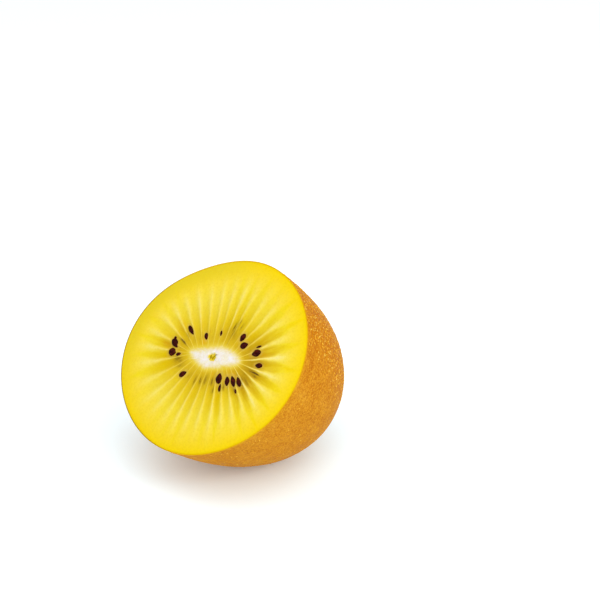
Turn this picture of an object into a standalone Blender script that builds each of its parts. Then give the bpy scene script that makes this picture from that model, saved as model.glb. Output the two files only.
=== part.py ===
"""Half of a golden kiwi fruit, cut across its middle and lying on its skin.

Metres, +Z up. The origin is the middle of the small flat spot that the half rests on, and the cut face
looks towards -Y and up. The fruit is modelled with its axis along local Z, the cut at z = 0 and the stem
end at the bottom, and then leans back onto its side. It grew as one piece, so it is one solid: the seeds,
the rays of the cut face and the stem scar are all part of it.
"""

import math

import bmesh
import bpy
from mathutils import Matrix, Vector

MM = 0.001

# The outline of the fruit
FRUIT_RADIUS = 26.5 * MM
HALF_LENGTH = 38.7 * MM
BLUNTNESS = 2.7
TAPER = 0.065
ROUNDING_TOWARDS_STEM = 0.2

# How the cut is out of round: the waves in one turn, their height as a share of the radius, and where one peaks
OUT_OF_ROUND = ((2, 0.059, math.radians(25)), (3, 0.013, math.radians(-52)), (4, 0.009, math.radians(-4)))

# How it lies
LEAN = math.radians(50)
FLAT_SPOT_DEPTH = 0.55 * MM

# The white core and the rays that leave it
CORE_LONG = 8.2 * MM
CORE_SHORT = 2.8 * MM
CORE_TURN = math.radians(11)
CORE_CENTRE = Vector((1.15, -0.2)) * MM
CORE_POINTED = 0.3
CORE_RISE = 0.3 * MM
PIT_SHARE = 0.16
PIT_DEPTH = 1.0 * MM
RAY_RELIEF = 0.35 * MM
FURROWS_START = (0.0, 0.25)
FURROWS_END = (0.45, 0.85)
CROWN = 0.5 * MM
SKIN_EDGE_REACH = 0.98

# Where the rays leave the core, in degrees round it from its right end. They stand wider apart at its two ends
RAY_TURNS = (
    8, 22, 35, 47, 58, 69, 78, 88, 98, 109, 121, 133, 144, 155, 168, 181,
    195, 211, 224, 235, 247, 257, 267, 277, 288, 298, 308, 318, 328, 340, 352,
)
RAYS = len(RAY_TURNS)

# Seeds that show on the cut. Each has its place across the cut, its length and its width in millimetres, and the
# direction that its blunt end points in, in degrees
SHOWN_SEEDS = (
    (12.65, 5.0, 2.7, 1.85, 34), (12.55, 6.65, 1.5, 0.5, 35), (15.0, 2.5, 2.1, 1.3, 14),
    (8.25, 5.5, 2.3, 1.85, 215), (6.75, 7.1, 2.25, 1.5, 80), (0.05, 5.95, 1.6, 0.7, 110),
    (-3.85, 3.8, 2.1, 1.15, 128), (-9.35, 3.75, 3.1, 1.25, 150), (-12.25, -0.85, 3.0, 1.85, 150),
    (-12.9, 0.35, 0.9, 0.7, 120), (-11.7, -3.1, 2.45, 2.2, 198), (-9.55, -3.0, 1.6, 0.9, 210),
    (-5.3, -7.0, 2.45, 1.55, 222), (5.75, -4.2, 2.85, 2.0, 290), (7.25, -6.2, 2.0, 0.85, 290),
    (8.4, -3.95, 2.6, 1.45, 300), (10.05, -3.4, 3.1, 1.4, 316), (12.1, -5.35, 1.35, 0.55, 315),
    (11.7, -3.0, 2.7, 1.3, 318),
)
SEED_FLATNESS = 0.8
SEED_POINTED = 0.55
SEED_PROUD_SHARE = 0.35

# The stem end
DIMPLE_DEPTH = 1.0 * MM
DIMPLE_RADIUS = 8.8 * MM
SCAR_RADIUS = 2.4 * MM
SCAR_RISE = 0.8 * MM

# How finely each stretch is divided
COLUMNS_PER_RAY = 4
COLUMNS = RAYS * COLUMNS_PER_RAY
FACE_REACHES = (0.05, 0.12, 0.2, 0.29, 0.39, 0.5, 0.61, 0.72, 0.83, 0.92, SKIN_EDGE_REACH)
CORE_SHARES = (0.86, 0.55, 0.26, PIT_SHARE)
BODY_RINGS = 15
COARSE_FROM_SHARE = 0.97
SCAR_SHARES = (1.0, 0.8, 0.4)


def smooth_step(low, high, value):
    """0 below low, 1 above high, and a smooth S between them."""
    share = min(1.0, max(0.0, (value - low) / (high - low)))
    return share * share * (3 - 2 * share)


def turned(point, angle):
    """A 2-D point turned about the origin."""
    return Matrix.Rotation(angle, 2) @ point


def ray_turn(number):
    """The angle of a ray round the core, in radians. Whole numbers are rays, halves the locules between them."""
    below = math.floor(number)
    first, second = (RAY_TURNS[n % RAYS] + 360 * (n // RAYS) for n in (below, below + 1))
    return math.radians(first + (second - first) * (number - below))


def outline_radius(turn, depth_share=0.0):
    """The fruit's radius in a direction, at a share of the way from the cut down to the stem end."""
    profile = (1 - depth_share**BLUNTNESS) ** (1 / BLUNTNESS) * (1 - TAPER * depth_share)
    unevenness = sum(height * math.cos(waves * (turn - peak)) for waves, height, peak in OUT_OF_ROUND)
    return FRUIT_RADIUS * profile * (1 + unevenness * (1 - ROUNDING_TOWARDS_STEM * depth_share))


def core_edge(turn):
    """A point on the edge of the lens-shaped core, in the plane of the cut."""
    across = math.sin(turn) * abs(math.sin(turn)) ** CORE_POINTED
    return CORE_CENTRE + turned(Vector((CORE_LONG * math.cos(turn), CORE_SHORT * across)), CORE_TURN)


def cut_point(turn, reach):
    """A point of the cut plane: reach 0 is the core's edge and 1 the skin, straight out along a ray."""
    direction = turned(Vector((1, 0)), turn + CORE_TURN)
    return core_edge(turn).lerp(direction * outline_radius(turn + CORE_TURN), reach)


def cut_height(number, reach):
    """How far the cut face stands above the cut plane: it crowns, and the locules sink between the rays."""
    ridge = (0.5 + 0.5 * math.cos(math.tau * number)) ** 2
    furrowed = smooth_step(*FURROWS_START, reach) * (1 - smooth_step(*FURROWS_END, reach))
    return CROWN * (1 - reach**4) - RAY_RELIEF * (1 - ridge) * furrowed


def stem_end_depth(distance):
    """How far the stem end is drawn in at a distance from the fruit's axis."""
    return DIMPLE_DEPTH * (1 - smooth_step(SCAR_RADIUS, DIMPLE_RADIUS, distance))


def add_ring(mesh, count, point):
    """count vertices, the first at ray 0; point(number) gives each one's place from its ray number."""
    return [mesh.verts.new(point(RAYS * column / count)) for column in range(count)]


def bridge(mesh, fine, coarse, material):
    """Faces between two rings, of which the second may have a half or a quarter of the first's vertices."""
    step = len(fine) // len(coarse)
    for i, corner in enumerate(coarse):
        following = coarse[(i + 1) % len(coarse)]
        run = [fine[(i * step + k) % len(fine)] for k in range(step + 1)]
        middle = (step + 1) // 2
        faces = [(run[k], run[k + 1], corner) for k in range(middle)]
        faces.append((run[middle], following, corner))
        faces += [(run[k], run[k + 1], following) for k in range(middle, step)]
        for face in faces:
            mesh.faces.new(face).material_index = material


def close_ring(mesh, ring, place, material):
    """A fan from a ring to one vertex."""
    tip = mesh.verts.new(place)
    for i, corner in enumerate(ring):
        mesh.faces.new((corner, ring[(i + 1) % len(ring)], tip)).material_index = material


def add_cut_face(mesh, rim, skin, flesh, core):
    """The cut face, from the skin's edge in to the pit in the middle of the core."""
    outer = rim
    for reach in (*reversed(FACE_REACHES), 0.0):
        inner = add_ring(
            mesh, COLUMNS,
            lambda n, r=reach: cut_point(ray_turn(n), r).to_3d() + Vector((0, 0, cut_height(n, r))),
        )
        bridge(mesh, outer, inner, skin if outer is rim else flesh)
        outer = inner
    for share in CORE_SHARES:
        rise = Vector((0, 0, CROWN + CORE_RISE * (1 - share**2)))
        inner = add_ring(
            mesh, RAYS,
            lambda n, s=share, up=rise: CORE_CENTRE.lerp(core_edge(ray_turn(n)), s).to_3d() + up,
        )
        bridge(mesh, outer, inner, core)
        outer = inner
    close_ring(mesh, outer, CORE_CENTRE.to_3d() + Vector((0, 0, CROWN - PIT_DEPTH)), core)


def add_body(mesh, rim, skin, scar):
    """The skin's side of the fruit, from the cut's rim down to the woody scar in the dimple at the stem end."""
    outer = rim
    for i in range(1, BODY_RINGS + 1):
        share = math.sin(i / (BODY_RINGS + 1) * math.pi / 2)
        count = COLUMNS // 2 if share < COARSE_FROM_SHARE else RAYS

        def place(number, share=share):
            turn = ray_turn(number) + CORE_TURN
            radius = outline_radius(turn, share)
            drawn_in = stem_end_depth(radius)
            return Vector((radius * math.cos(turn), radius * math.sin(turn), drawn_in - HALF_LENGTH * share))

        inner = add_ring(mesh, count, place)
        bridge(mesh, outer, inner, skin)
        outer = inner
    for share in SCAR_SHARES:
        depth = HALF_LENGTH - DIMPLE_DEPTH + (SCAR_RISE if share < 1 else 0)

        def place(number, share=share, depth=depth):
            turn = ray_turn(number) + CORE_TURN
            return Vector((SCAR_RADIUS * share * math.cos(turn), SCAR_RADIUS * share * math.sin(turn), -depth))

        inner = add_ring(mesh, RAYS, place)
        bridge(mesh, outer, inner, skin if share == 1 else scar)
        outer = inner
    close_ring(mesh, outer, Vector((0, 0, DIMPLE_DEPTH - HALF_LENGTH - SCAR_RISE / 2)), scar)


def make_material(name, colour, roughness):
    material = bpy.data.materials.new(name)
    material.use_nodes = True
    surface = material.node_tree.nodes["Principled BSDF"]
    surface.inputs["Base Color"].default_value = (*colour, 1)
    surface.inputs["Roughness"].default_value = roughness
    surface.inputs["Metallic"].default_value = 0
    return material


def link_mesh(name, mesh, materials, collection):
    """An object made of a bmesh, which is freed."""
    bmesh.ops.recalc_face_normals(mesh, faces=mesh.faces)
    data = bpy.data.meshes.new(name)
    mesh.to_mesh(data)
    mesh.free()
    for material in materials:
        data.materials.append(material)
    made = bpy.data.objects.new(name, data)
    collection.objects.link(made)
    return made


def add_seed(index, row, material, collection):
    """One seed, a flattened drop with its point mostly towards the core, sunk into the flesh of its locule."""
    x, y, length, width, heading = row
    outwards = turned(Vector((1, 0)), math.radians(heading)).to_3d()
    up = Vector((0, 0, 1))
    sizes = Vector((length, width, width * SEED_FLATNESS)) * MM
    mesh = bmesh.new()
    bmesh.ops.create_uvsphere(mesh, u_segments=8, v_segments=7, radius=0.5)
    for corner in mesh.verts:
        along, side, height = corner.co.z, corner.co.x, corner.co.y
        narrowing = 1 + SEED_POINTED * min(0, 2 * along)
        corner.co = sizes * Vector((along, side * narrowing, height * narrowing))
    surface = CROWN - RAY_RELIEF / 2
    place = Vector((x, y)).to_3d() * MM + up * (surface + sizes.z * (SEED_PROUD_SHARE - 0.5))
    frame = Matrix((outwards, up.cross(outwards), up)).transposed().to_4x4()
    bmesh.ops.transform(mesh, matrix=Matrix.Translation(place) @ frame, verts=mesh.verts)
    return link_mesh(f"seed_{index:02d}", mesh, [material], collection)


def join_seeds(fruit, material):
    """The seeds become part of the fruit, by one Boolean union on their collection."""
    seeds = bpy.data.collections.new("seeds")
    bpy.context.scene.collection.children.link(seeds)
    for index, row in enumerate(SHOWN_SEEDS):
        add_seed(index, row, material, seeds)
    union = fruit.modifiers.new("seeds", "BOOLEAN")
    union.operation = "UNION"
    union.solver = "EXACT"
    union.operand_type = "COLLECTION"
    union.collection = seeds
    union.material_mode = "TRANSFER"
    graph = bpy.context.evaluated_depsgraph_get()
    joined = bpy.data.meshes.new_from_object(fruit.evaluated_get(graph))
    fruit.modifiers.remove(union)
    fruit.data = joined
    for seed in list(seeds.objects):
        bpy.data.objects.remove(seed)
    bpy.data.collections.remove(seeds)


def press_flat_spot(fruit, down):
    """Cuts the lowest bulge off flat, and gives the middle of the flat spot."""
    lowest = max(corner.co.dot(down) for corner in fruit.data.vertices)
    level = lowest - FLAT_SPOT_DEPTH
    mesh = bmesh.new()
    mesh.from_mesh(fruit.data)
    everything = [*mesh.verts, *mesh.edges, *mesh.faces]
    cut = bmesh.ops.bisect_plane(
        mesh, geom=everything, dist=1e-7, plane_co=down * level, plane_no=down, clear_outer=True
    )
    edges = [part for part in cut["geom_cut"] if isinstance(part, bmesh.types.BMEdge)]
    spot = bmesh.ops.contextual_create(mesh, geom=edges)["faces"]
    middle = sum((face.calc_center_median() for face in spot), Vector()) / len(spot)
    bmesh.ops.triangulate(mesh, faces=mesh.faces)
    mesh.to_mesh(fruit.data)
    mesh.free()
    return middle


def main():
    for old in list(bpy.data.objects):
        bpy.data.objects.remove(old)
    skin = make_material("skin", (0.42, 0.19, 0.04), 0.55)
    flesh = make_material("flesh", (0.93, 0.72, 0.05), 0.35)
    core = make_material("core", (0.9, 0.85, 0.7), 0.4)
    scar = make_material("stem_scar", (0.16, 0.07, 0.02), 0.8)
    seed = make_material("seed", (0.035, 0.006, 0.01), 0.25)

    mesh = bmesh.new()
    rim = add_ring(mesh, COLUMNS, lambda number: cut_point(ray_turn(number), 1).to_3d())
    add_cut_face(mesh, rim, skin=0, flesh=1, core=2)
    add_body(mesh, rim, skin=0, scar=3)
    fruit = link_mesh("kiwi_half", mesh, [skin, flesh, core, scar], bpy.context.scene.collection)
    join_seeds(fruit, seed)

    lean = Matrix.Rotation(LEAN, 3, "X")
    middle = press_flat_spot(fruit, lean.inverted() @ Vector((0, 0, -1)))
    fruit.rotation_euler = (LEAN, 0, 0)
    fruit.location = -(lean @ middle)
    fruit.data.shade_smooth()
    fruit.data.set_sharp_from_angle(angle=math.radians(40))


main()
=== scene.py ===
# %% [markdown]
# # Half of a golden kiwi fruit
#
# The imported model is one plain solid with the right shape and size. This script dresses it: the cut face
# gets its rays, its white core and its dark seeds, and the outside gets a thin brown skin with raised corky
# specks and a woody scar at the stem end. Every piece is worked out from the same few sizes as the solid,
# so it all fits.

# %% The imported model
import math

import bmesh
import bpy
import numpy as np
from mathutils import Matrix, Vector, kdtree, noise


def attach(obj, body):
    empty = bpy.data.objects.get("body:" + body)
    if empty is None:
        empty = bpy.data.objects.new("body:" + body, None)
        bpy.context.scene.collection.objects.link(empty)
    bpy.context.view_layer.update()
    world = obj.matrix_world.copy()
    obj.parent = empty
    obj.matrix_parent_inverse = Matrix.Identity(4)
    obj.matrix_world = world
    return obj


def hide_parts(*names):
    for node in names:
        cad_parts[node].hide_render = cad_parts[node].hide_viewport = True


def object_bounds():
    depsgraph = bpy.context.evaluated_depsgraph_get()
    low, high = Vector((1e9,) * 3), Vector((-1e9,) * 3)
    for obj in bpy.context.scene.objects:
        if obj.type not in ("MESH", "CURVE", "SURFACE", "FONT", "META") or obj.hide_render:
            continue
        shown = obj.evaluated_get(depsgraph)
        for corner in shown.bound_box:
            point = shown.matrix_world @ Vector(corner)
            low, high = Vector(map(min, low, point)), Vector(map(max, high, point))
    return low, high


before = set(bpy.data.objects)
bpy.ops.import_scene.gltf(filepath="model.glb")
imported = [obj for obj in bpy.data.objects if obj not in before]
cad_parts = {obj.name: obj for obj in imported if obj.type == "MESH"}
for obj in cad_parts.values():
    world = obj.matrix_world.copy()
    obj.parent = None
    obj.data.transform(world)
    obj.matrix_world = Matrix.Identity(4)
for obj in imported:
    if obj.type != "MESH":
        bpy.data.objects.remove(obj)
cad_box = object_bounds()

MM = 0.001
NODE = "kiwi_half"
cad_low, cad_high = (np.array(corner) / MM for corner in cad_box)
print("CAD box in mm:", cad_low.round(2), cad_high.round(2))

# %% [markdown]
# ## Camera
#
# The photograph looks down on the fruit at 25 degrees, from the right of the cut face. A fairly long lens
# keeps the perspective mild, as it is there. The camera isn't aimed at the middle of the half, because in
# the photograph the half lies left of the middle and low. Aiming past it gives the same framing with no
# lens shift.

# %% Camera
CAMERA_PLACE = Vector((225.2, -221.7, 190.8)) * MM
CAMERA_ELEVATION = math.radians(25)
CAMERA_AZIMUTH = math.radians(43.1)
LENS = 84
SENSOR = 36

camera_data = bpy.data.cameras.new("camera")
camera_data.lens = LENS
camera_data.sensor_width = SENSOR
camera = bpy.data.objects.new("camera", camera_data)
camera.location = CAMERA_PLACE
camera.rotation_euler = (math.pi / 2 - CAMERA_ELEVATION, 0, CAMERA_AZIMUTH)
bpy.context.scene.collection.objects.link(camera)
bpy.context.scene.camera = camera
print("camera", [round(v, 3) for v in camera.location])

# %% [markdown]
# ## Nodes as sums
#
# Materials and Geometry Nodes are graphs of small steps. Written one node at a time, a formula such as `1 -
# mask * 0.5` takes six lines. The class below wraps an output socket and gives it Python's operators, so a
# formula on sockets reads like one on numbers and adds its own Math nodes. All other nodes come from one
# function.

# %% A function that adds any node
def add_node(tree, kind, settings=(), values=()):
    """A new node. Settings come first, then values or links of its sockets, by identifier or number."""
    node = tree.nodes.new(kind)
    for name, value in dict(settings).items():
        if name == "stops":
            set_stops(node.color_ramp, value)
        else:
            setattr(node, name, value)
    for name, value in dict(values).items():
        socket = find_socket(node.inputs, name)
        if isinstance(value, Wire):
            tree.links.new(value.socket, socket)
        elif socket.type == "RGBA" and len(value) == 3:
            socket.default_value = (*value, 1)
        else:
            socket.default_value = value
    return node


def find_socket(sockets, name):
    if isinstance(name, int):
        return sockets[name]
    matches = [socket for socket in sockets if socket.identifier == name]
    return matches[0] if matches else sockets[name]


def set_stops(ramp, stops):
    while len(ramp.elements) < len(stops):
        ramp.elements.new(0.5)
    for element, (place, colour) in zip(ramp.elements, stops):
        element.position = place
        element.color = (*colour, 1)


# %% A socket that does sums
class Wire:
    """An output socket with Python's operators. Each operation adds a Math node and gives its output."""

    def __init__(self, socket):
        self.socket = socket

    def __add__(self, other):
        return sum_node("ADD", self, other)

    def __radd__(self, other):
        return sum_node("ADD", other, self)

    def __sub__(self, other):
        return sum_node("SUBTRACT", self, other)

    def __rsub__(self, other):
        return sum_node("SUBTRACT", other, self)

    def __mul__(self, other):
        return sum_node("MULTIPLY", self, other)

    def __rmul__(self, other):
        return sum_node("MULTIPLY", other, self)

    def __truediv__(self, other):
        return sum_node("DIVIDE", self, other)

    def __pow__(self, other):
        return sum_node("POWER", self, other)

    def __abs__(self):
        return sum_node("ABSOLUTE", self)

    def step(self, low, high):
        """0 below low, 1 above high, with a smooth S between them."""
        values = {"Value": self, "From Min": low, "From Max": high}
        settings = {"interpolation_type": "SMOOTHSTEP"}
        return Wire(add_node(self.socket.id_data, "ShaderNodeMapRange", settings, values).outputs[0])

    def bell(self, width):
        """1 where the value is 0, falling to almost 0 at twice the width on either side."""
        share = self / width
        return sum_node("POWER", math.e, share * share * -1)

    def most(self, other):
        return sum_node("MAXIMUM", self, other)

    def least(self, other):
        return sum_node("MINIMUM", self, other)

    def ramp(self, *stops):
        """A colour that runs through the stops, each a place and a colour."""
        node = add_node(self.socket.id_data, "ShaderNodeValToRGB", {"stops": stops}, {0: self})
        return Wire(node.outputs[0])


def sum_node(operation, *terms):
    tree = next(term.socket.id_data for term in terms if isinstance(term, Wire))
    return Wire(add_node(tree, "ShaderNodeMath", {"operation": operation}, enumerate(terms)).outputs[0])


# %% Colours, as they are seen in a picture
STUDIO = 1.27


def seen(red, green, blue):
    """A colour in the 0 to 255 of a picture, as the paint that looks so under the studio's lights."""
    shares = (value / 255 for value in (red, green, blue))
    linear = (v / 12.92 if v <= 0.04045 else ((v + 0.055) / 1.055) ** 2.4 for v in shares)
    return tuple(v / STUDIO for v in linear)


def blend(factor, first, second, mode="MIX"):
    """first where factor is 0, second where it is 1. Colours keep their hue, which Math nodes grey."""
    tree = next(term.socket.id_data for term in (factor, first, second) if isinstance(term, Wire))
    values = {"Factor_Float": factor, "A_Color": first, "B_Color": second}
    node = add_node(tree, "ShaderNodeMix", {"data_type": "RGBA", "blend_type": mode}, values)
    return Wire(find_socket(node.outputs, "Result_Color"))


# %% A material with the patterns that the finishes below use
class Finish:
    """A material under construction, with its Principled shader and the patterns that feed it."""

    def __init__(self, name, **constants):
        self.material = bpy.data.materials.new(name)
        self.material.use_nodes = True
        self.tree = self.material.node_tree
        self.shader = self.tree.nodes["Principled BSDF"]
        for socket, value in constants.items():
            find_socket(self.shader.inputs, socket.replace("_", " ")).default_value = value

    def node(self, kind, settings=(), values=()):
        return add_node(self.tree, kind, settings, values)

    def millimetres(self):
        """Object coordinates in millimetres, so that pattern sizes are real ones."""
        place = Wire(self.node("ShaderNodeTexCoord").outputs["Object"])
        values = {0: place, "Scale": 1 / MM}
        return Wire(self.node("ShaderNodeVectorMath", {"operation": "SCALE"}, values).outputs[0])

    def rays(self):
        """The ray number and the reach that a piece's UV map holds."""
        uv = Wire(self.node("ShaderNodeUVMap", {"uv_map": "rays"}).outputs[0])
        parts = self.node("ShaderNodeSeparateXYZ", (), {0: uv})
        return Wire(parts.outputs[0]), Wire(parts.outputs[1])

    def attribute(self, name):
        return Wire(self.node("ShaderNodeAttribute", {"attribute_name": name}).outputs["Fac"])

    def vector(self, x, y, z=0.0):
        return Wire(self.node("ShaderNodeCombineXYZ", (), {0: x, 1: y, 2: z}).outputs[0])

    def clouds(self, place, size=1.0, detail=2.0, roughness=0.5):
        """Soft random values round 0.5, with lumps of that size."""
        values = {"Vector": place, "Scale": 1 / size, "Detail": detail, "Roughness": roughness}
        return Wire(self.node("ShaderNodeTexNoise", (), values).outputs["Fac"])

    def cells(self, place, size):
        """The distance from the nearest of many scattered points, in units of their spacing."""
        values = {"Vector": place, "Scale": 1 / size}
        return Wire(self.node("ShaderNodeTexVoronoi", (), values).outputs["Distance"])

    def bump(self, height, depth, strength=1.0):
        """height, from 0 to 1, as relief of that depth in metres on the shader's normal."""
        values = {"Height": height, "Distance": depth, "Strength": strength}
        self.wear(Normal=Wire(self.node("ShaderNodeBump", (), values).outputs[0]))

    def wear(self, **links):
        """Links what varies over the surface to the shader."""
        for socket, wire in links.items():
            self.tree.links.new(wire.socket, find_socket(self.shader.inputs, socket.replace("_", " ")))


# %% [markdown]
# ## The shape of the fruit
#
# A kiwi fruit is nearly round across and blunt at its ends. One curve gives that profile: a circle's
# equation with an exponent above 2, which fills out the shoulder. Three gentle waves round the cut make it
# as oval and uneven as the real one. The fruit is worked out standing on its stem end, in millimetres, with
# the cut at height 0, and is then leaned back onto its side. The functions take plain numbers, arrays of
# them, or sockets, so the same formula serves mesh code and Geometry Nodes.

# %% Sizes, in millimetres
FRUIT_RADIUS = 26.5
HALF_LENGTH = 38.7
BLUNTNESS = 2.7
TAPER = 0.065
ROUNDING_TOWARDS_STEM = 0.2
OUT_OF_ROUND = ((2, 0.059, math.radians(25)), (3, 0.013, math.radians(-52)), (4, 0.009, math.radians(-4)))
SKIN_THICKNESS = 0.2
LEAN = math.radians(50)
DIMPLE_DEPTH = 1.0
DIMPLE_RADIUS = 8.8
SCAR_RADIUS = 2.4
SCAR_RISE = 0.8


# %% The outline
def cosine(angle):
    return sum_node("COSINE", angle) if isinstance(angle, Wire) else np.cos(angle)


def sine(angle):
    return sum_node("SINE", angle) if isinstance(angle, Wire) else np.sin(angle)


def smooth_step(low, high, value):
    """0 below low, 1 above high, and a smooth S between them."""
    if isinstance(value, Wire):
        return value.step(low, high)
    share = np.clip((value - low) / (high - low), 0, 1)
    return share * share * (3 - 2 * share)


def outline_radius(turn, share=0.0):
    """The fruit's radius in a direction, at a share of the way from the cut down to the stem end."""
    profile = (1 - share**BLUNTNESS) ** (1 / BLUNTNESS) * (1 - TAPER * share)
    waves = sum(height * cosine(count * (turn - peak)) for count, height, peak in OUT_OF_ROUND)
    return FRUIT_RADIUS * profile * (1 + waves * (1 - ROUNDING_TOWARDS_STEM * share))


def skin_height(radius, share):
    """The height of the skin there, which is drawn in round the stem scar."""
    dimple = DIMPLE_DEPTH * (1 - smooth_step(SCAR_RADIUS, DIMPLE_RADIUS, radius))
    return dimple - HALF_LENGTH * share


# %% Where the leaning fruit lies
# The lean is known and the solid's box says the rest: the same outline, leaned, is slid until it fills that
# box.
lean_matrix = np.array(Matrix.Rotation(LEAN, 3, "X"))
probe_turn, probe_share = np.meshgrid(np.linspace(0, math.tau, 400), np.sin(np.linspace(0, 1.5, 60)))
probe_radius = outline_radius(probe_turn, probe_share)
probe = np.stack([
    probe_radius * np.cos(probe_turn),
    probe_radius * np.sin(probe_turn),
    skin_height(probe_radius, probe_share),
], -1).reshape(-1, 3) @ lean_matrix.T
slide = (cad_low + cad_high) / 2 - (probe.min(0) + probe.max(0)) / 2
slide[2] = cad_high[2] - probe[:, 2].max()
print("middle of the cut in mm:", slide.round(2))


def to_world(points):
    """Millimetres in the standing fruit to metres in the frame. What would sink in is pressed flat."""
    placed = np.asarray(points) @ lean_matrix.T + slide
    placed[:, 2] = np.maximum(placed[:, 2], 0)
    return placed * MM


# %% [markdown]
# ## The cut
#
# Pale rays run from the core to the skin, with a locule between each two. They stand a little wider apart
# at the two ends of the core, and their directions follow measurements of the photograph. A place on the
# cut is told by two numbers: the ray number, with whole numbers on the rays, and the reach, which is 0 at
# the core's edge and 1 at the skin.

# %% Rays and core
RAY_TURNS = (
    8, 22, 35, 47, 58, 69, 78, 88, 98, 109, 121, 133, 144, 155, 168, 181,
    195, 211, 224, 235, 247, 257, 267, 277, 288, 298, 308, 318, 328, 340, 352,
)
RAYS = len(RAY_TURNS)
CORE_LONG = 8.2
CORE_SHORT = 2.8
CORE_POINTED = 0.3
CORE_TURN = math.radians(11)
CORE_CENTRE = np.array((1.15, -0.2))


def ray_turn(number):
    """The angle of a ray round the core. Whole numbers are rays, halves are the locules between them."""
    return np.radians(np.interp(number, np.arange(RAYS + 1), (*RAY_TURNS, RAY_TURNS[0] + 360)))


def turned(x, y, angle):
    """Points of the cut plane turned about its middle."""
    return np.stack([x * np.cos(angle) - y * np.sin(angle), x * np.sin(angle) + y * np.cos(angle)], -1)


def core_edge(turn):
    across = CORE_SHORT * np.sin(turn) * np.abs(np.sin(turn)) ** CORE_POINTED
    return CORE_CENTRE + turned(CORE_LONG * np.cos(turn), across, CORE_TURN)


def cut_point(number, reach):
    """A point of the cut plane: reach is -1 in the core's middle, 0 at its edge, 1 where the skin begins."""
    turn = ray_turn(number)
    edge = core_edge(turn)
    if reach < 0:
        return CORE_CENTRE + (edge - CORE_CENTRE) * (1 + reach)
    radius = outline_radius(turn + CORE_TURN) - SKIN_THICKNESS
    return edge + (turned(radius, 0, turn + CORE_TURN) - edge) * reach


# %% [markdown]
# The flesh and the stem scar are stacks of rings: the cut face is rings from the core out to the rim. So
# one function lays a surface over a stack of rings and closes it with a point at each end. It also writes a
# UV map that holds each point's ray number and reach, so that a finish can draw rays that follow the mesh
# exactly.

# %% A closed surface over rings
def cover_rings(name, numbers, rings, levels, start, end):
    """A mesh from a point, over rings in millimetres, to a point. levels are the rings' V values."""
    count = len(numbers)
    column = np.arange(count)
    following = (column + 1) % count
    points = np.concatenate([*rings, [start, end]])
    first, last = len(points) - 2, len(points) - 1
    top = (len(rings) - 1) * count
    faces = [np.stack([np.full(count, first), column, following], 1)]
    for i in range(len(rings) - 1):
        here, there = i * count, (i + 1) * count
        faces.append(np.stack([here + column, there + column, there + following, here + following], 1))
    faces.append(np.stack([top + column, np.full(count, last), top + following], 1))

    mesh = bpy.data.meshes.new(name)
    mesh.from_pydata(to_world(points), [], [face for group in faces for face in group.tolist()])
    mesh.uv_layers.new(name="rays").data.foreach_set("uv", ring_map(numbers, levels).ravel())
    mesh.shade_smooth()
    return link_piece(name, mesh)


def ring_map(numbers, levels):
    """The UV of each face corner of cover_rings, in order: U is the ray number and V the ring's level."""
    here = numbers
    there = numbers + RAYS / len(numbers)
    middle = (here + there) / 2
    flat = np.ones_like(here)
    fan = np.stack([middle, here, there], 1)
    uv = [np.stack([fan, np.full_like(fan, levels[0])], -1).reshape(-1, 2)]
    across = np.stack([here, here, there, there], 1)
    for low, high in zip(levels, levels[1:]):
        up = np.stack([flat * low, flat * high, flat * high, flat * low], 1)
        uv.append(np.stack([across, up], -1).reshape(-1, 2))
    fan = np.stack([here, middle, there], 1)
    uv.append(np.stack([fan, np.full_like(fan, levels[-1])], -1).reshape(-1, 2))
    return np.concatenate(uv)


def link_piece(name, mesh):
    piece = bpy.data.objects.new(name, mesh)
    bpy.context.scene.collection.objects.link(piece)
    return piece


def report(piece):
    """Prints what a closed piece measures. A volume below 0 would mean faces that point inwards."""
    mesh = bmesh.new()
    mesh.from_mesh(piece.data)
    volume = mesh.calc_volume(signed=True) / MM**3
    open_edges = sum(not edge.is_manifold for edge in mesh.edges)
    mesh.free()
    count = sum(len(face.vertices) - 2 for face in piece.data.polygons)
    print(f"{piece.name}: {count} triangles, {volume:.0f} mm3, {open_edges} open edges")


def rough(points, size, seed):
    """Smooth random values from -1 to 1 at points, with lumps of that size in millimetres."""
    shift = Vector((seed * 7.31, seed * 3.17, seed * 5.53))
    return np.array([noise.noise(Vector(point) / size + shift) for point in points])


# %% [markdown]
# ## Seeds, and what lies under the surface
#
# The seeds sit in a loose ring round the core, mostly with their points towards it. No rule gives their
# places, so they are listed one by one. They were measured on the photograph and tuned until the render
# matched it. Other seeds lie just under the surface and show only as olive smudges, and here and there the
# flesh is tinted amber.

# %% Spots of the cut
# Each row is a place across the cut, a length and a width in millimetres, and the direction of the length
# in degrees, which for a seed is where its blunt end points. The last two lists end with a strength.
SEEDS = (
    (12.65, 5.0, 2.7, 1.85, 34), (12.55, 6.65, 1.5, 0.5, 35), (15.0, 2.5, 2.1, 1.3, 14),
    (8.25, 5.5, 2.3, 1.85, 215), (6.75, 7.1, 2.25, 1.5, 80), (0.05, 5.95, 1.6, 0.7, 110),
    (-3.85, 3.8, 2.1, 1.15, 128), (-9.35, 3.75, 3.1, 1.25, 150), (-12.25, -0.85, 3.0, 1.85, 150),
    (-12.9, 0.35, 0.9, 0.7, 120), (-11.7, -3.1, 2.45, 2.2, 198), (-9.55, -3.0, 1.6, 0.9, 210),
    (-5.3, -7.0, 2.45, 1.55, 222), (5.75, -4.2, 2.85, 2.0, 290), (7.25, -6.2, 2.0, 0.85, 290),
    (8.4, -3.95, 2.6, 1.45, 300), (10.05, -3.4, 3.1, 1.4, 316), (12.1, -5.35, 1.35, 0.55, 315),
    (11.7, -3.0, 2.7, 1.3, 318),
)
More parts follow.
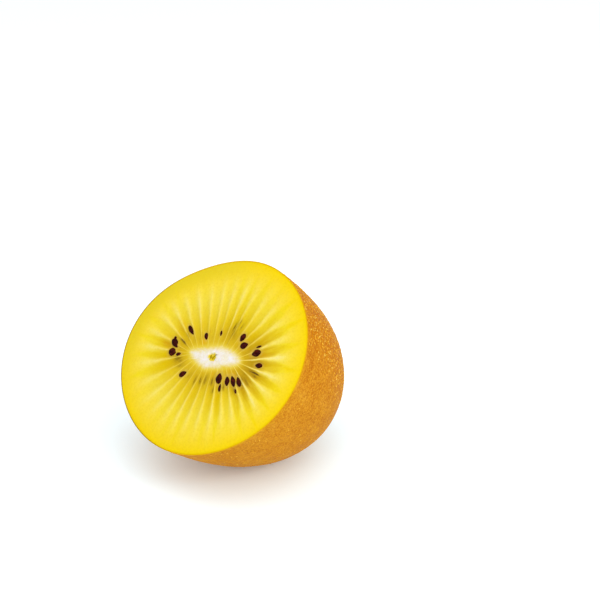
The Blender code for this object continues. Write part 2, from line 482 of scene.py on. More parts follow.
SMUDGES = (
    (3.1, 9.0, 2.6, 0.5, 82, 0.55), (4.1, 9.7, 2.4, 0.5, 80, 0.65), (5.0, 9.4, 2.2, 0.5, 77, 0.45),
    (3.6, 7.8, 3.4, 2.2, 80, 0.3), (-9.9, 0.4, 2.4, 0.6, 162, 0.6), (-9.3, 2.3, 1.8, 0.7, 150, 0.3),
    (-7.9, -4.4, 1.3, 0.7, 215, 0.7), (-9.1, -4.2, 2.6, 1.4, 200, 0.4), (-7.4, -5.4, 2.0, 0.8, 215, 0.35),
    (0.7, -6.7, 1.7, 0.6, 98, 0.6), (-0.9, -7.2, 2.2, 0.8, 100, 0.4), (2.2, -6.0, 2.6, 0.9, 95, 0.3),
    (5.6, -7.6, 1.6, 0.6, 100, 0.5), (4.2, -5.5, 2.6, 1.0, 95, 0.35), (15.3, 0.45, 2.0, 0.3, 176, 0.95),
    (15.0, -0.3, 1.9, 0.5, 175, 0.6), (13.9, 0.4, 1.6, 0.7, 178, 0.4), (12.6, -2.6, 1.8, 0.9, 318, 0.5),
    (11.0, -5.2, 2.4, 0.8, 305, 0.4), (8.8, -4.6, 2.6, 0.7, 300, 0.5), (10.6, -3.9, 2.2, 0.5, 305, 0.5),
    (8.2, -5.6, 2.2, 0.9, 295, 0.35), (1.85, 0.6, 0.8, 0.25, 25, 0.9), (13.8, -2.4, 2.6, 0.9, 330, 0.3),
    (-3.2, -6.6, 2.0, 0.8, 235, 0.25),
)
AMBER = (
    (-3.9, 2.4, 1.8, 1.6, 100, 0.9), (9.2, -2.0, 3.4, 1.3, 345, 0.7), (3.4, -3.8, 2.2, 1.0, 275, 0.4),
    (-12.5, 3.6, 4.0, 2.0, 150, 0.5), (-14.5, -1.8, 3.6, 1.4, 180, 0.6), (15.2, 5.2, 3.6, 1.4, 18, 0.45),
    (15.0, -2.9, 3.0, 1.2, 340, 0.4),
)


def spots(points, rows, spread):
    """1 at the middle of the nearest oval of rows, falling off to 0 a few spreads away."""
    best = np.zeros(len(points))
    for x, y, length, width, heading, *strength in rows:
        offset = turned(points[:, 0] - x, points[:, 1] - y, -math.radians(heading))
        away = np.hypot(offset[:, 0] / length, offset[:, 1] / width) * 2 / spread
        best = np.maximum(best, (strength or [1])[0] * np.exp(-(away**2)))
    return best


print(len(SEEDS), "seeds show and", len(SMUDGES), "smudges lie under the surface")

# %% [markdown]
# ## Flesh
#
# The cut face is a real surface with relief. The knife leaves it slightly crowned; the firm rays stand a
# little above the wetter locules between them, the seeds sit in small dents, and the core ends in a ragged
# pit. A flat disc with a picture of rays would shade wrongly from every other angle, so the rings carry
# this relief. The flesh is a closed slab that goes a few millimetres down inside the skin, which gives
# light a body to spread in.

# %% Heights of the cut face
CROWN = 0.5
RAY_RELIEF = 0.2
CORE_RISE = 0.25
PIT_PLACE = np.array((1.0, -0.2))
PIT_HALF_SIZES = np.array((1.3, 1.05))
PIT_DEPTH = 0.45
SEED_DENT = 0.15


def cut_height(number, reach, points):
    """How far each point of the cut face stands above the cut plane."""
    ridge = (0.5 + 0.5 * np.cos(math.tau * number)) ** 2
    furrowed = smooth_step(0, 0.25, reach) * (1 - smooth_step(0.45, 0.85, reach))
    height = CROWN * (1 - max(reach, 0) ** 4) - RAY_RELIEF * (1 - ridge) * furrowed
    height += CORE_RISE * (1 - (1 + min(reach, 0)) ** 2)
    lumps = rough(points, 1.3, 1) * 0.05 + rough(points, 0.6, 2) * 0.01
    height += lumps * (1 - smooth_step(0.9, 1.0, reach))
    height -= SEED_DENT * spots(points, SEEDS, 1.1)
    return height - PIT_DEPTH * pit_share(points) ** 2


def pit_share(points):
    """1 in the ragged pit of the core and 0 outside it."""
    ragged = 1 + 0.5 * rough(points, 0.7, 3)
    away = np.hypot(*((points[:, :2] - PIT_PLACE) / PIT_HALF_SIZES / ragged[:, None]).T)
    return np.exp(-(away**4))


# %% The flesh mesh
FLESH_COLUMNS = 24
FLESH_DEPTH = 6.0
FLESH_WALL = 0.6
EDGE_ROUND = 0.03

flesh_numbers = np.arange(RAYS * FLESH_COLUMNS) / FLESH_COLUMNS
flesh_reaches = [*np.linspace(-0.97, 0, 28), *np.linspace(0, 0.985, 78)[1:], 0.995, 1.0]
flesh_rings = []
for reach in flesh_reaches:
    flat = cut_point(flesh_numbers, reach)
    ring = np.column_stack([flat, np.zeros(len(flat))])
    ring[:, 2] = cut_height(flesh_numbers, reach, ring)
    flesh_rings.append(ring)
rim = flesh_rings[-1]
rim[:, 2] -= EDGE_ROUND
for lean in np.linspace(0, math.pi / 2, 7)[:-1]:
    inner = rim * (0.995 * math.cos(lean), 0.995 * math.cos(lean), 0)
    inner[:, 2] = -FLESH_WALL - FLESH_DEPTH * math.sin(lean)
    flesh_rings.append(inner)
flesh_levels = [*flesh_reaches, *np.linspace(1.02, 1.3, 6)]
flesh_top = np.append(CORE_CENTRE, CROWN + CORE_RISE - PIT_DEPTH)
flesh_end = (0, 0, -FLESH_WALL - FLESH_DEPTH)
flesh = cover_rings("flesh", flesh_numbers, flesh_rings, flesh_levels, flesh_top, flesh_end)
report(flesh)


# %% [markdown]
# The finish of the flesh reads a few values at each point of the mesh. The white of the core has an outline
# that follows no rule, so it is listed corner by corner and rounded off. The rays differ in strength, and
# so do the locules between them in depth of colour, so each has a list that starts at the first ray. These
# lists, too, follow measurements of the photograph.

# %% What the flesh's finish reads
WHITE_OUTLINE = (
    (9.3, 1.15), (8.75, 2.05), (7.0, 2.7), (4.4, 2.95), (2.0, 2.75), (0.1, 2.0), (-2.2, 0.9), (-4.3, 0.0),
    (-6.1, -1.0), (-5.5, -1.8), (-3.5, -2.7), (-1.0, -3.25), (0.5, -3.3), (2.2, -2.5), (4.1, -1.9),
    (5.5, -1.0), (7.8, 0.0),
)
WHITE_MIDDLE = np.array((1.0, 0.0))
LOCULE_GOLD = (
    0.7, 0.7, 0.45, 0.2, 0.3, 0.35, 0.3, 0.05, 0.0, 0.1, 0.1, 0.2, 0.25, 0.3, 0.4, 0.4,
    0.4, 0.15, 0.05, 0.2, 0.25, 0.3, 0.15, 0.3, 0.45, 0.2, 0.6, 0.85, 0.8, 0.95, 1.0,
)
RAY_LIGHT = (
    1.5, 1.0, 0.85, 0.8, 0.55, 0.6, 1.05, 0.65, 0.75, 0.8, 0.95, 0.85, 0.85, 0.8, 0.8, 0.95,
    0.9, 0.65, 0.85, 0.75, 0.65, 0.85, 0.75, 0.75, 0.95, 0.8, 0.9, 0.75, 1.4, 1.2, 1.3,
)


def set_values(piece, name, values):
    piece.data.attributes.new(name, "FLOAT", "POINT").data.foreach_set("value", values)


def rounded(corners, steps):
    """A smooth closed curve through the corners, with that many points from each to the next."""
    curve = []
    share = np.arange(steps)[:, None] / steps
    for i in range(len(corners)):
        before, start, end, after = (np.array(corners[(i + k) % len(corners)]) for k in (-1, 0, 1, 2))
        curve.append(
            start + share * (end - before) / 2 + share**2 * (before - 2.5 * start + 2 * end - after / 2)
            + share**3 * (1.5 * (start - end) + (after - before) / 2)
        )
    return np.concatenate(curve)


def beyond_white(points):
    """Millimetres beyond the white's outline across the cut, below 0 inside it."""
    outline = rounded(WHITE_OUTLINE, 24)
    tree = kdtree.KDTree(len(outline))
    for i, (x, y) in enumerate(outline):
        tree.insert((x, y, 0), i)
    tree.balance()
    away = np.array([tree.find((x, y, 0))[2] for x, y, height in points])
    arm, outline_arm = points[:, :2] - WHITE_MIDDLE, outline - WHITE_MIDDLE
    edge = np.interp(
        np.arctan2(arm[:, 1], arm[:, 0]), np.arctan2(outline_arm[:, 1], outline_arm[:, 0]),
        np.hypot(*outline_arm.T), period=math.tau,
    )
    return np.where(np.hypot(*arm.T) < edge, -away, away)


every = np.concatenate([*flesh_rings, [flesh_top, flesh_end]])
level_of = np.append(np.repeat(flesh_levels, len(flesh_numbers)), (-1, 2))
on_top = level_of <= 1
set_values(flesh, "beyond_white", beyond_white(every))
set_values(flesh, "smudge", spots(every, SMUDGES, 1.15) * on_top)
set_values(flesh, "amber", spots(every, AMBER, 1.1) * on_top)
set_values(flesh, "by_seed", spots(every, SEEDS, 1.35) * on_top)
set_values(flesh, "pit", pit_share(every) * on_top)
number_of = np.append(np.tile(flesh_numbers, len(flesh_rings)), (0, 0))
set_values(flesh, "ray_light", np.array(RAY_LIGHT)[np.round(number_of).astype(int) % RAYS])
set_values(flesh, "gold", np.interp(number_of, np.arange(RAYS) + 0.5, LOCULE_GOLD, period=RAYS))

# %% [markdown]
# ### The finish of the flesh
#
# Golden kiwi flesh is a deep, clear yellow near the skin. Further in, pale fibrous rays part the golden
# locules, crisp at the core and soft further out, where they fade. The colour comes from layers laid over
# each other by masks: locules first, then rays, then the white core, then what the seeds do to the flesh
# round them. A locule's colour runs along three ramps, from pale to deep gold, and is mixed from them by
# its value in the list above. A little subsurface scattering stands for the light that the wet flesh lets
# in.

# %% Colours of the flesh from the core out to the skin
PALE = (
    (0.0, seen(230, 195, 45)), (0.1, seen(220, 185, 35)), (0.3, seen(235, 205, 40)),
    (0.55, seen(245, 220, 70)), (0.75, seen(250, 220, 60)), (1.0, seen(250, 215, 0)),
)
RIPE = (
    (0.0, seen(225, 190, 35)), (0.15, seen(210, 170, 20)), (0.35, seen(225, 190, 0)),
    (0.7, seen(245, 220, 35)), (1.0, seen(250, 215, 0)),
)
DEEP = (
    (0.0, seen(225, 185, 35)), (0.2, seen(190, 150, 20)), (0.35, seen(200, 155, 10)),
    (0.75, seen(245, 215, 20)), (1.0, seen(250, 210, 0)),
)
RAY = (
    (0.0, seen(245, 225, 105)), (0.1, seen(240, 210, 75)), (0.6, seen(250, 230, 110)),
    (1.0, seen(250, 220, 10)),
)


# %% Flesh
def flesh_finish():
    finish = Finish(
        "golden_flesh", Subsurface_Weight=0.15, Subsurface_Scale=0.001, Subsurface_Radius=(1.0, 0.7, 0.1),
        Specular_IOR_Level=0.025,
    )
    number, reach = finish.rays()
    place = finish.millimetres()
    nearest = sum_node("FLOOR", number + 0.5)
    waver = (finish.clouds(finish.vector(nearest * 3.1, reach * 3.5)) - 0.5) * 0.3
    aside = number - nearest + waver
    broken = finish.clouds(finish.vector(nearest * 5.7, reach * 6), 1.0, 3)
    fibres = finish.clouds(finish.vector(number * 3.6, reach * 3.5), 1.0, 3, 0.6)
    specks = finish.clouds(place, 0.55, 2, 0.6)

    # Locules: the deeper gold stands in flames between the rays, pointed at their outer ends.
    lobe = finish.clouds(finish.vector(sum_node("FLOOR", number) * 2.3, 0.0), 1.0, 0)
    flame = abs(aside) - (reach + (lobe - 0.5) * 0.4 + (fibres - 0.5) * 0.3 - 0.38) * 0.9
    gold = (finish.attribute("gold") * flame.step(-0.1, 0.16) * 1.25 + finish.attribute("amber")).least(1.0)
    locule = blend((gold * 2).least(1.0), reach.ramp(*PALE), reach.ramp(*RIPE))
    locule = blend((gold * 2 - 1).most(0.0), locule, reach.ramp(*DEEP))
    locule = blend(finish.attribute("amber") * 0.6, locule, seen(236, 178, 24))
    inner = (1 - reach.step(0.1, 0.6)) * reach.step(-0.05, 0.06)
    locule = blend(fibres.step(0.5, 0.72) * inner * 0.35, locule, seen(184, 142, 24))
    outer = reach.step(0.2, 0.45) * (1 - reach.step(0.7, 0.95))
    locule = blend(fibres.step(0.44, 0.64) * outer * 0.3, locule, seen(249, 226, 62))

    # Rays: a thin bright line with a soft glow round it. They waver, break up and fade towards the skin.
    spread = reach.step(0.1, 0.75)
    line = aside.bell(0.07 + 0.09 * spread) * (0.5 + 0.9 * broken)
    glow = aside.bell(0.17 + 0.2 * spread) * (0.06 + 0.42 * broken) * reach.step(0.1, 0.45)
    fade = reach.step(-0.04, 0.03) * (1 - (reach + (broken - 0.5) * 0.5).step(0.55, 0.97))
    ray = (line + glow * (1 - finish.attribute("gold") * 0.6)) * finish.attribute("ray_light") * fade
    streaked = blend((ray * 0.9).least(1.0), locule, reach.ramp(*RAY))
    streaked = blend((ray - 1).most(0.0).least(0.5), streaked, seen(252, 240, 165))

    # The core is white, with a feathered edge whose spikes run out into the rays, and a glow beyond it.
    feather = (finish.clouds(finish.vector(number * 1.7, reach * 1.5), 1.0, 3) - 0.5) * 1.4
    beyond = finish.attribute("beyond_white") + feather - ray * 0.3
    cored = blend((1 - beyond.step(-0.2, 1.6)) * 0.8, streaked, seen(243, 220, 90))
    core = finish.clouds(place, 1.4, 2).ramp((0.35, seen(244, 235, 214)), (0.65, seen(248, 241, 238)))
    cored = blend(1 - beyond.step(-1.3, 0.7), cored, core)

    # The ragged pit in the core is yellow again, with dull olive flecks.
    flecks = finish.clouds(place, 0.55, 3)
    pit = finish.attribute("pit")
    pit = pit + (flecks - 0.5) * 1.4 * pit.step(0.01, 0.3)
    ringed = blend(pit.step(0.05, 0.5) * 0.7, cored, seen(240, 226, 140))
    yolk = flecks.ramp((0.38, seen(140, 116, 14)), (0.48, seen(222, 192, 24)), (0.64, seen(242, 214, 66)))
    pitted = blend(pit.step(0.4, 0.75), ringed, yolk)

    # Seeds under the surface show through as olive smudges, and those on it have a pale edge round them.
    streaks = finish.clouds(finish.vector(number * 7, reach * 5))
    smudge = (finish.attribute("smudge") * (0.5 + 1.6 * streaks.step(0.42, 0.6))).least(1.0)
    smudged = blend(smudge, pitted, seen(98, 72, 24))
    halo = finish.attribute("by_seed").step(0.15, 0.5) * 0.45
    seeded = blend(halo, smudged, seen(218, 180, 80))

    # Small specks mottle the flesh. At the top left it is duller, and right at the skin it is a deep gold.
    mottled = blend((1 - specks.step(0.25, 0.6)) * 0.2, seeded, seen(214, 174, 8))
    angle = number * (math.tau / RAYS)
    dull = cosine(angle - 2.3).step(0.3, 0.9) * reach.step(0.72, 0.97) * 0.85
    toned = blend(dull, mottled, seen(231, 205, 40))
    final = blend(reach.step(0.97, 1.0) * 0.5, toned, seen(240, 200, 2))
    finish.wear(Base_Color=final, Roughness=0.5 + 0.2 * finish.clouds(place, 1.2))
    finish.bump(fibres, 0.0001, 0.25)
    return finish.material


flesh.data.materials.append(flesh_finish())

# %% [markdown]
# ## Geometry Nodes, written as a script
#
# Three pieces are grown by node trees: the seeds and the specks on the skin, because they repeat, and the
# skin itself, because one rule gives its shape. The helpers below are what the three trees share.

# %% Helpers for the trees
def geometry_tree(name, **sizes):
    """A tree with a geometry input and output, and a named input for each size."""
    tree = bpy.data.node_groups.new(name, "GeometryNodeTree")
    tree.interface.new_socket("Geometry", in_out="INPUT", socket_type="NodeSocketGeometry")
    tree.interface.new_socket("Geometry", in_out="OUTPUT", socket_type="NodeSocketGeometry")
    for size, value in sizes.items():
        tree.interface.new_socket(size, in_out="INPUT", socket_type="NodeSocketFloat").default_value = value
    inputs = add_node(tree, "NodeGroupInput")
    return tree, {socket.name: Wire(socket) for socket in inputs.outputs if socket.name}


def out(tree, kind, settings=(), values=(), output=0):
    """The output of a new node."""
    return Wire(find_socket(add_node(tree, kind, settings, values).outputs, output))


def finish_tree(tree, geometry, material):
    """Realizes the copies, sets their material and ends the tree."""
    real = out(tree, "GeometryNodeRealizeInstances", (), {0: geometry})
    smooth = out(tree, "GeometryNodeSetShadeSmooth", (), {"Geometry": real})
    painted = out(tree, "GeometryNodeSetMaterial", (), {"Geometry": smooth, "Material": material})
    add_node(tree, "NodeGroupOutput", (), {0: painted})


def grow(piece, tree, name, **sizes):
    """Puts the tree on the piece, sets its inputs by identifier, and gives the result as a plain mesh."""
    modifier = piece.modifiers.new(name, "NODES")
    modifier.node_group = tree
    for socket in tree.interface.items_tree:
        if socket.in_out == "INPUT" and socket.name in sizes:
            modifier[socket.identifier] = float(sizes[socket.name])
    graph = bpy.context.evaluated_depsgraph_get()
    mesh = bpy.data.meshes.new_from_object(piece.evaluated_get(graph))
    mesh.name = name
    piece.modifiers.remove(modifier)
    return mesh


# %% [markdown]
# ## The seeds themselves
#
# A sphere is pulled into a drop once, and the tree puts a copy on each point of a small mesh, turned and
# sized by attributes of that point. A seed is dark maroon, almost black, and hard. In the photograph hardly
# any light glints off the seeds, so their gloss is kept low.

# %% The tree that sets a drop on each point
def seed_tree(material):
    tree, inputs = geometry_tree("drops_on_points", Pointedness=0.5)
    sphere = out(tree, "GeometryNodeMeshUVSphere", (), {"Segments": 24, "Rings": 16, "Radius": 0.5}, "Mesh")
    place = add_node(tree, "ShaderNodeSeparateXYZ", (), {0: out(tree, "GeometryNodeInputPosition")})
    x, y, z = (Wire(socket) for socket in place.outputs)
    narrow = 1 + (z * 2).least(0.0) * inputs["Pointedness"]
    drop = out(tree, "ShaderNodeCombineXYZ", (), {0: x * narrow, 1: y * narrow, 2: z})
    shaped = out(tree, "GeometryNodeSetPosition", (), {"Geometry": sphere, "Position": drop})
    stored = {"data_type": "FLOAT_VECTOR"}
    turn = out(tree, "GeometryNodeInputNamedAttribute", stored, {"Name": "turn"}, "Attribute")
    sizes = out(tree, "GeometryNodeInputNamedAttribute", stored, {"Name": "sizes"}, "Attribute")
    values = {"Points": inputs["Geometry"], "Instance": shaped, "Rotation": turn, "Scale": sizes}
    finish_tree(tree, out(tree, "GeometryNodeInstanceOnPoints", (), values), material)
    return tree


# %% The seeds' finish
def seed_finish():
    finish = Finish("dark_seed", Specular_IOR_Level=0.04)
    place = finish.millimetres()
    tone = finish.clouds(place, 0.7, 3)
    finish.wear(
        Base_Color=tone.ramp((0.3, seen(34, 2, 2)), (0.5, seen(58, 9, 5)), (0.75, seen(92, 26, 8))),
        Roughness=0.3 + 0.2 * tone,
    )
    finish.bump(finish.clouds(place, 0.22), 0.00004, 0.5)
    return finish.material


# %% The seeds
SEED_FLATNESS = 0.8
SEED_PROUD_SHARE = 0.35


def seed_points():
    """A mesh of one point a seed, with its turn and sizes."""
    places, turns, sizes = [], [], []
    up = Vector((0, 0, 1))
    lean = Matrix.Rotation(LEAN, 3, "X")
    for x, y, length, width, heading in SEEDS:
        thickness = width * SEED_FLATNESS
        along = Vector((math.cos(math.radians(heading)), math.sin(math.radians(heading)), 0))
        axes = Matrix((up.cross(along), up, along)).transposed()
        surface = CROWN - RAY_RELIEF / 2
        places.append((x, y, surface + thickness * (SEED_PROUD_SHARE - 0.5)))
        turns.append((lean @ axes).to_euler())
        sizes.append((width * MM, thickness * MM, length * MM))
    mesh = bpy.data.meshes.new("seed_points")
    mesh.from_pydata(to_world(places), [], [])
    for name, values in (("turn", turns), ("sizes", sizes)):
        layer = mesh.attributes.new(name, "FLOAT_VECTOR", "POINT")
        layer.data.foreach_set("vector", np.array(values, float).ravel())
    return link_piece("seed_points", mesh)


points = seed_points()
seeds = link_piece("seeds", grow(points, seed_tree(seed_finish()), "seeds", Pointedness=0.45))
bpy.data.objects.remove(points)
report(seeds)

# %% [markdown]
# ## Skin
#
# The skin is a thin shell, and one rule gives all of it: down the outside from the cut to the stem end, and
# back up the inside, at every angle the outline's own radius. So a Geometry Nodes tree bends a flat grid
# into it. The grid's columns run round the fruit and its rows run from the inner wall's pole, over the cut
# edge, to the outer wall's. Noise pushes the outer wall in and out, as broad unevenness and small pebbles.
# Merging by distance then closes the seam and the two poles.

# %% Where the skin is corky and lit
LIT_CORKY_MIDDLE = 2.1
LIT_CORKY_TWIST = 0.6


def lit_corky_share(turn, level):
    """1 on the upper side, rough with cork and lit, and 0 on the smooth one below. The skin's colours paint
    light and shade by it.
    """
    return cosine(turn - LIT_CORKY_MIDDLE + level * LIT_CORKY_TWIST).step(-0.2, 0.14)


# %% The tree that bends a grid into the skin
SKIN_COLUMNS = 480
OUTER_ROWS = 150
INNER_ROWS = 14
MERGE_DISTANCE = 0.001 * MM


def skin_tree(material):
    tree, inputs = geometry_tree("turned_skin", Thickness=0.2, Waves=0.1, Pebbles=0.03, Bare_rows=3.0)
    rows = OUTER_ROWS + INNER_ROWS
    size = {"Size X": 1.0, "Size Y": 1.0, "Vertices X": SKIN_COLUMNS + 1, "Vertices Y": rows + 1}
    grid = out(tree, "GeometryNodeMeshGrid", (), size, "Mesh")
    flat = add_node(tree, "ShaderNodeSeparateXYZ", (), {0: out(tree, "GeometryNodeInputPosition")})
    round_share = Wire(flat.outputs[0]) + 0.5
    row = (Wire(flat.outputs[1]) + 0.5) * rows - INNER_ROWS
    turn = round_share * math.tau

    # Rows 1 and up are the outer wall, -1 and down the inner one, and row 0 the cut edge between them.
    down = (row - 1).most(0.0) / (OUTER_ROWS - 1) + (-1 * row - 1).most(0.0) / (INNER_ROWS - 1)
    share = sine(down * (math.pi / 2)).least(1.0)
    outside = row.most(0.0).least(1.0)
    inset = inputs["Thickness"] * (0.5 - 0.5 * row.most(-1.0).least(1.0))
    outline = outline_radius(turn, share)
    radius = (outline - inset).most(0.0)
    height = skin_height(outline, share) + inset * share**4
    place = {0: radius * cosine(turn), 1: radius * sine(turn), 2: height}
    bent = out(tree, "ShaderNodeCombineXYZ", (), place)

    # Relief on the outer wall, along the line from the middle of the cut. It dies out at the cut edge.
    def relief(size, detail):
        values = {"Vector": bent, "Scale": 1 / size, "Detail": detail}
        return out(tree, "ShaderNodeTexNoise", (), values) * 2 - 1

    amount = relief(9.0, 1.0) * inputs["Waves"] * share.step(0.03, 0.2)
    amount = (amount + relief(1.1, 1.0) * inputs["Pebbles"] * share.step(0.0, 0.03)) * outside
    outwards = out(tree, "ShaderNodeVectorMath", {"operation": "NORMALIZE"}, {0: bent})
    push = out(tree, "ShaderNodeVectorMath", {"operation": "SCALE"}, {0: outwards, "Scale": amount})
    moved = out(tree, "ShaderNodeVectorMath", {"operation": "ADD"}, {0: bent, 1: push})

    # Leaned back, slid to its place, and pressed flat where it lies.
    values = {"Vector": moved, "Angle": LEAN}
    leaned = out(tree, "ShaderNodeVectorRotate", {"rotation_type": "X_AXIS"}, values)
    slid = out(tree, "ShaderNodeVectorMath", {"operation": "ADD"}, {0: leaned, 1: slide.tolist()})
    placed = add_node(tree, "ShaderNodeSeparateXYZ", (), {0: slid})
    x, y, z = (Wire(socket) for socket in placed.outputs)
    world = out(tree, "ShaderNodeCombineXYZ", (), {0: x * MM, 1: y * MM, 2: z.most(0.0) * MM})

    # The rows and what may carry specks are stored before the grid is bent and its seam merged.
    first = inputs["Bare_rows"]
    last = OUTER_ROWS - inputs["Bare_rows"] * 2
    free = row.step(first - 1, first) * (1 - row.step(last - 1, last)) * z.step(0.7, 0.9)
    free = free * (0.06 + 0.94 * lit_corky_share(turn, row / OUTER_ROWS))
    chart = out(tree, "ShaderNodeCombineXYZ", (), {0: round_share * RAYS, 1: row / OUTER_ROWS, 2: 0.0})
    stored = grid
    for name, kind, domain, value in (("rays", "FLOAT2", "CORNER", chart), ("free", "FLOAT", "POINT", free)):
        values = {"Geometry": stored, "Name": name, "Value": value}
        stored = out(tree, "GeometryNodeStoreNamedAttribute", {"data_type": kind, "domain": domain}, values)
    shaped = out(tree, "GeometryNodeSetPosition", (), {"Geometry": stored, "Position": world})
    closed = out(tree, "GeometryNodeMergeByDistance", (), {"Geometry": shaped, "Distance": MERGE_DISTANCE})
    finish_tree(tree, out(tree, "GeometryNodeFlipFaces", (), {0: closed}), material)
    return tree


# %% [markdown]
# ### The finish of the skin
#
# From a step away the skin is one warm orange brown. Close up its upper side is corky, with fine pebbles,
# and it is also the lit side, so its colours there are painted light: a deeper orange ground, painted shade
# in the gaps between the pebbles, and a haze of golden flecks that stand partly for glints. Its lower side
# is smoother and painted a little lighter, as light thrown up from the floor makes it. The function above
# tells the two sides apart, so the colours, the bump and the lenticels change together. The ground mixes a
# few browns at several sizes. The cut edge itself is golden, with painted shade that turns it a darker olive
# at the left.

# %% Skin
def skin_finish():
    finish = Finish(
        "brown_skin", Specular_IOR_Level=0.01, Specular_Tint=(1.0, 0.7, 0.35, 1),
    )
    number, level = finish.rays()
    place = finish.millimetres()
    broad = finish.clouds(place, 9, 3)
    middle = finish.clouds(place, 2.2, 3)
    fine = finish.clouds(place, 0.45, 3, 0.6)
    pebbles = finish.cells(place, 0.75)
    ground = (broad * 0.5 + middle * 0.5).ramp(
        (0.36, seen(202, 114, 10)), (0.5, seen(216, 134, 24)), (0.66, seen(227, 153, 42)),
    )
    angle = number * (math.tau / RAYS)
    lit_corky = lit_corky_share(angle, level)
    # Painted bounce light: the lower side is made a little lighter, as light thrown up from the floor makes
    # it.
    under = cosine(angle - 5.4).step(0.4, 0.95)
    # Painted light: the lit upper side gets a deeper orange ground.
    ground = blend(lit_corky * 0.8, ground, seen(214, 122, 0))
    ground = blend(under * 0.25, ground, seen(232, 158, 50))
    toned = blend(fine.step(0.45, 0.62) * 0.5, ground, seen(244, 180, 44))
    toned = blend((1 - fine.step(0.36, 0.5)) * (0.45 - 0.15 * lit_corky), toned, seen(186, 102, 10))
    # Painted shade: the gaps between the pebbles, where the bump sinks, are darker, more so on the lit upper
    # side.
    gap_shaded = blend(pebbles.step(0.4, 0.75) * (0.14 + 0.16 * lit_corky), toned, seen(156, 70, 0))
    # Golden flecks, partly the skin's own specks and partly painted glints, stronger on the lit upper side.
    flecks = (1 - finish.cells(place, 0.7).step(0.16, 0.34)) * finish.clouds(place, 1.6, 1).step(0.36, 0.56)
    flecked_and_glinting = blend(flecks * (0.2 + 0.3 * lit_corky), gap_shaded, seen(255, 202, 48))
    lit = blend((1 - abs(level).step(0.0, 0.03)) * 0.35, flecked_and_glinting, seen(240, 176, 6))
    # The cut edge is golden, and painted shade turns it a darker olive at the left.
    edge = blend(cosine(angle - 3.6).step(0.2, 0.8), seen(238, 188, 8), seen(168, 134, 12))
    final = blend(1 - abs(level).step(0.003, 0.009), lit, edge)
    finish.wear(Base_Color=final, Roughness=0.36 + 0.25 * middle)
    finish.bump(((1 - pebbles) * 0.6 + fine * 0.4) * (0.35 + 0.4 * lit_corky), 0.0003, 0.8)
    return finish.material


# %% The skin
holder = link_piece("skin_holder", bpy.data.meshes.new("skin_holder"))
skin = link_piece("skin", grow(holder, skin_tree(skin_finish()), "skin", Thickness=SKIN_THICKNESS))
skin.data.set_sharp_from_angle(angle=math.radians(60))
bpy.data.objects.remove(holder)
report(skin)

# %% [markdown]
# ## Lenticels
#
# The pale flecks are lenticels, small corky spots that the fruit breathes through. They repeat by the
# thousand and keep clear of each other, which is what Distribute Points on Faces does with its Poisson disk
# setting. They crowd on the corky side and are few on the smooth one. Each one is a flattened lump of few
# faces, laid along the skin.

# %% The tree that scatters them
LENTICEL_SPACING = 0.5 * MM
DENSEST = 1e7


def lenticel_tree(material):
    sizes = {"Spacing": LENTICEL_SPACING, "Smallest": 0.24 * MM, "Largest": 0.46 * MM}
    tree, inputs = geometry_tree("lenticels_on_skin", **sizes)
    stored = {"data_type": "FLOAT"}
    free = out(tree, "GeometryNodeInputNamedAttribute", stored, {"Name": "free"}, "Attribute")
    values = {
        "Mesh": inputs["Geometry"], "Selection": free, "Distance Min": inputs["Spacing"],
        "Density Max": DENSEST, "Density Factor": free, "Seed": 5,
    }
    specks = add_node(tree, "GeometryNodeDistributePointsOnFaces", {"distribute_method": "POISSON"}, values)
    values = {"Min_001": inputs["Smallest"], "Max_001": inputs["Largest"], "Seed": 3}
    across = out(tree, "FunctionNodeRandomValue", {"data_type": "FLOAT"}, values, "Value_001")
    values = {"Min_001": 1.0, "Max_001": 1.8, "Seed": 4}
    longer = out(tree, "FunctionNodeRandomValue", {"data_type": "FLOAT"}, values, "Value_001")
    lump = out(tree, "GeometryNodeMeshIcoSphere", (), {"Radius": 0.5, "Subdivisions": 1}, "Mesh")
    values = {
        "Points": Wire(specks.outputs["Points"]),
        "Rotation": Wire(specks.outputs["Rotation"]),
        "Instance": lump,
        "Scale": out(tree, "ShaderNodeCombineXYZ", (), {0: across, 1: across * longer, 2: across * 0.45}),
    }
    finish_tree(tree, out(tree, "GeometryNodeInstanceOnPoints", (), values), material)
    return tree


# %% Lenticels
def lenticel_finish():
    finish = Finish("corky_fleck", Specular_IOR_Level=0.12)
    place = finish.millimetres()
    tone = finish.clouds(place, 1.3)
    golds = (0.32, seen(240, 160, 20)), (0.5, seen(255, 194, 48)), (0.68, seen(255, 218, 92))
    finish.wear(Base_Color=tone.ramp(*golds), Roughness=0.42 + 0.25 * tone)
    finish.bump(finish.clouds(place, 0.12), 0.00003, 0.6)
    return finish.material


lenticel_mesh = grow(skin, lenticel_tree(lenticel_finish()), "lenticels", Spacing=LENTICEL_SPACING)
lenticels = link_piece("lenticels", lenticel_mesh)
report(lenticels)

# %% [markdown]
# ## Stem scar
#
# The hidden end is the stem end. Where the stalk broke off, a rough button of dry, dark brown tissue sits
# in a shallow dimple. It is a small stack of rings with strong random relief, sunk into the skin.

# %% The scar mesh
SCAR_COLUMNS = 5
STEM_END = DIMPLE_DEPTH - HALF_LENGTH
scar_numbers = np.arange(RAYS * SCAR_COLUMNS) / SCAR_COLUMNS


def scar_ring(share, height, relief):
    """A ring of that share of the scar's radius, roughened by relief in millimetres."""
    flat = turned(SCAR_RADIUS * share, 0, ray_turn(scar_numbers))
    ring = np.column_stack([flat, np.full(len(flat), height)])
    ring[:, 2] += relief * (rough(ring, 0.7, 6) + 0.6 * rough(ring, 0.3, 7))
    ring[:, :2] *= 1 + relief * 0.6 * rough(ring, 0.9, 8)[:, None]
    return ring


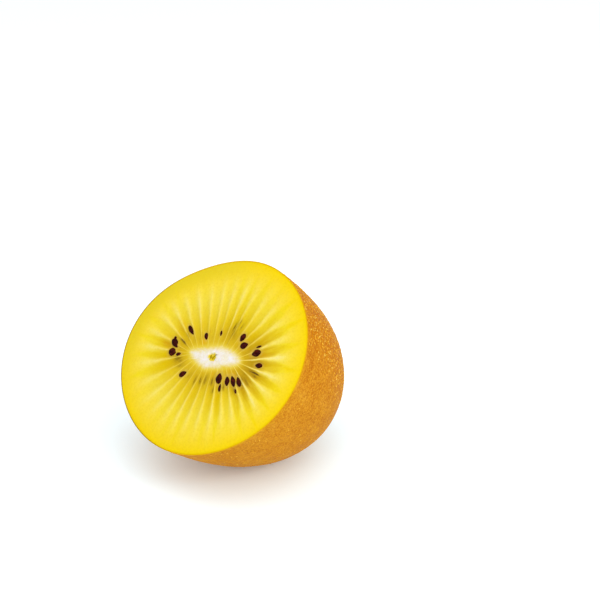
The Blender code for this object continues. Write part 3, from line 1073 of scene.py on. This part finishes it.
sunk = STEM_END + 0.3
lowest = STEM_END - SCAR_RISE
scar_rings = [scar_ring(share, sunk, 0.0) for share in (0.3, 0.7, 0.95)]
for share, drop in ((1.12, 0.0), (1.08, 0.2), (1.0, 0.45)):
    scar_rings.append(scar_ring(share, STEM_END - drop, 0.12))
for share in np.linspace(0.92, 0.06, 16):
    scar_rings.append(scar_ring(share, lowest + 0.35 * (1 - share) ** 0.5, 0.22))
scar_levels = np.linspace(0, 1, len(scar_rings))
scar = cover_rings("stem_scar", scar_numbers, scar_rings, scar_levels, (0, 0, sunk), (0, 0, lowest + 0.4))
report(scar)


# %% Stem scar
def scar_finish():
    finish = Finish("dry_stem_scar", Specular_IOR_Level=0.3)
    place = finish.millimetres()
    tone = finish.clouds(place, 0.8, 4, 0.65)
    finish.wear(
        Base_Color=tone.ramp((0.34, seen(58, 28, 14)), (0.5, seen(110, 62, 26)), (0.66, seen(168, 112, 58))),
        Roughness=0.7 + 0.2 * tone,
    )
    finish.bump(finish.clouds(place, 0.25, 3), 0.0002, 0.8)
    return finish.material


scar.data.materials.append(scar_finish())

# %% [markdown]
# ## Floor and light
#
# A plain pale floor and soft lights, as in a studio. The floor gets more light than it takes to look white,
# so it keeps only a soft shade near the fruit. The main light is wide and stands high on the camera's side,
# so that the shade falls mostly behind the fruit. The floor glows a little, which lightens the shade, and
# its paint is slightly blue, which balances the warm light that the fruit throws on it. A small light at
# the right grazes the pebbles of the skin. The floor lies a hair below the flat spot, so that the two
# surfaces don't coincide.

# %% Floor
FLOOR_HALF = 4.0
FLOOR_LEVEL = -0.02 * MM
floor_mesh = bpy.data.meshes.new("floor")
corners = [(x * FLOOR_HALF, y * FLOOR_HALF, FLOOR_LEVEL) for x, y in ((-1, -1), (1, -1), (1, 1), (-1, 1))]
floor_mesh.from_pydata(corners, [], [(0, 1, 2, 3)])
floor = link_piece("floor", floor_mesh)
floor_finish = Finish(
    "pale_floor", Roughness=0.6, Specular_IOR_Level=0.2, Base_Color=(0.83, 0.95, 1.0, 1),
    Emission_Color=(1, 1, 1, 1), Emission_Strength=0.12,
)
floor_mesh.materials.append(floor_finish.material)


# %% Lights
def soft_light(name, place, size, power):
    """A square area light at a place in metres, aimed at the fruit."""
    data = bpy.data.lights.new(name, "AREA")
    data.size = size
    data.energy = power
    light = bpy.data.objects.new(name, data)
    light.location = place
    aim = Vector((0, 0, 0.025)) - Vector(place)
    light.rotation_euler = aim.to_track_quat("-Z", "Y").to_euler()
    bpy.context.scene.collection.objects.link(light)


soft_light("top_light", (0.45, -0.45, 1.15), 1.8, 15.8)
soft_light("right_light", (0.8, 0.2, 0.5), 0.3, 1.8)

world = bpy.data.worlds.new("studio")
world.use_nodes = True
world.node_tree.nodes["Background"].inputs["Color"].default_value = (1, 1, 1, 1)
world.node_tree.nodes["Background"].inputs["Strength"].default_value = 0.7
bpy.context.scene.world = world
bpy.context.scene.view_settings.view_transform = "Standard"

# %% [markdown]
# ## Riding on the model
#
# Each piece rides on the model's one body and stands for the plain solid.

# %% Riding on the imported model
for piece in (flesh, seeds, skin, lenticels, scar):
    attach(piece, "root")
    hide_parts(NODE)
